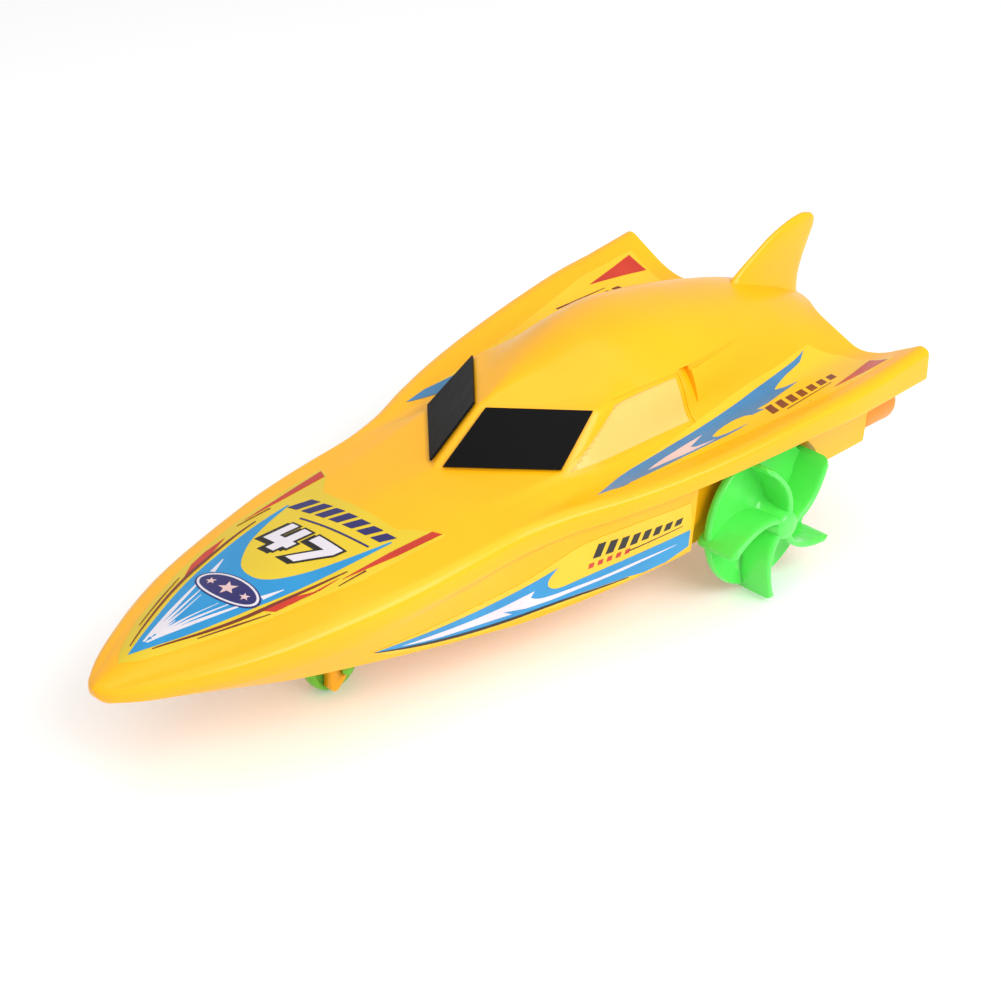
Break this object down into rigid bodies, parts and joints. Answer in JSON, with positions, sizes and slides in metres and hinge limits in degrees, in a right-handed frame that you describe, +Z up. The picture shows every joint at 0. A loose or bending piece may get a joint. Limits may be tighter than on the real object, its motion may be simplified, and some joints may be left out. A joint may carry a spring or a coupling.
{
  "type": "toy_boat",
  "caption": "Motor driven toy speedboat with moulded deck and hull, side paddle wheels on one axle, a bow roller, swept fin and an inset windscreen",
  "frame": {"origin": "under the middle of the boat on the floor it rests on", "axes": "+X to the bow, +Y to port, +Z up"},
  "size_m": [0.2164, 0.0946, 0.0642],
  "materials": {
    "yellow_plastic": "moulded gloss plastic",
    "paddle_green_plastic": "moulded gloss plastic",
    "bow_green_plastic": "moulded gloss plastic",
    "orange_plastic": "moulded gloss plastic",
    "black_plastic": "smooth black plastic",
    "decal_film": "printed vinyl film",
    "steel": "plain drawn steel",
    "nylon": "natural nylon",
    "cell_wrap": "shrink wrapped cell",
    "wire_cover": "soft wire insulation"
  },
  "bodies": {
    "hull": {"axle_bush_port": "nylon", "axle_bush_starboard": "nylon", "battery": "cell_wrap", "battery_hatch": "yellow_plastic", "bow_fork": "yellow_plastic", "bow_wheel_pin": "bow_green_plastic", "contact_negative": "steel", "contact_positive": "steel", "deck_decal_port": "decal_film", "deck_decal_starboard": "decal_film", "deck_screw_front_port": "steel", "deck_screw_front_starboard": "steel", "deck_screw_rear_port": "steel", "deck_screw_rear_starboard": "steel", "deck_shell": "yellow_plastic", "foredeck_decal": "decal_film", "hatch_screw": "steel", "hull_shell": "yellow_plastic", "motor": "steel", "motor_cradle": "black_plastic", "side_decal_port": "decal_film", "side_decal_starboard": "decal_film", "stern_pod_port": "orange_plastic", "stern_pod_starboard": "orange_plastic", "switch_body": "black_plastic", "tail_fin": "yellow_plastic", "windscreen_port": "black_plastic", "windscreen_starboard": "black_plastic", "wire_cell_motor": "wire_cover", "wire_switch_cell": "wire_cover", "wire_switch_motor": "wire_cover"},
    "paddle_drive": {"paddle_axle": "steel", "axle_gear": "nylon", "paddle_wheel_port": "paddle_green_plastic", "paddle_wheel_starboard": "paddle_green_plastic"},
    "motor_rotor": {"motor_shaft": "steel", "motor_pinion": "nylon"},
    "bow_roller": {"bow_wheel": "bow_green_plastic"},
    "switch": {"switch_knob": "black_plastic"}
  },
  "joints": [
    {"name": "paddle_spin", "type": "hinge", "parent": "hull", "child": "paddle_drive", "pos_m": [-0.0503, 0, 0.0183], "axis": [0, 1, 0], "continuous": true},
    {"name": "motor_spin", "type": "hinge", "parent": "hull", "child": "motor_rotor", "pos_m": [-0.0458, 0, 0.02792], "axis": [0, 1, 0], "continuous": true},
    {"name": "bow_wheel_spin", "type": "hinge", "parent": "hull", "child": "bow_roller", "pos_m": [0.0474, 0, 0.007], "axis": [0, 1, 0], "continuous": true},
    {"name": "switch_slide", "type": "slide", "parent": "hull", "child": "switch", "axis": [0, 1, 0], "range_m": [0, 0.003]}
  ],
  "couplings": [
    {"joint": "motor_spin", "follows": "paddle_spin", "ratio": -2}
  ]
}
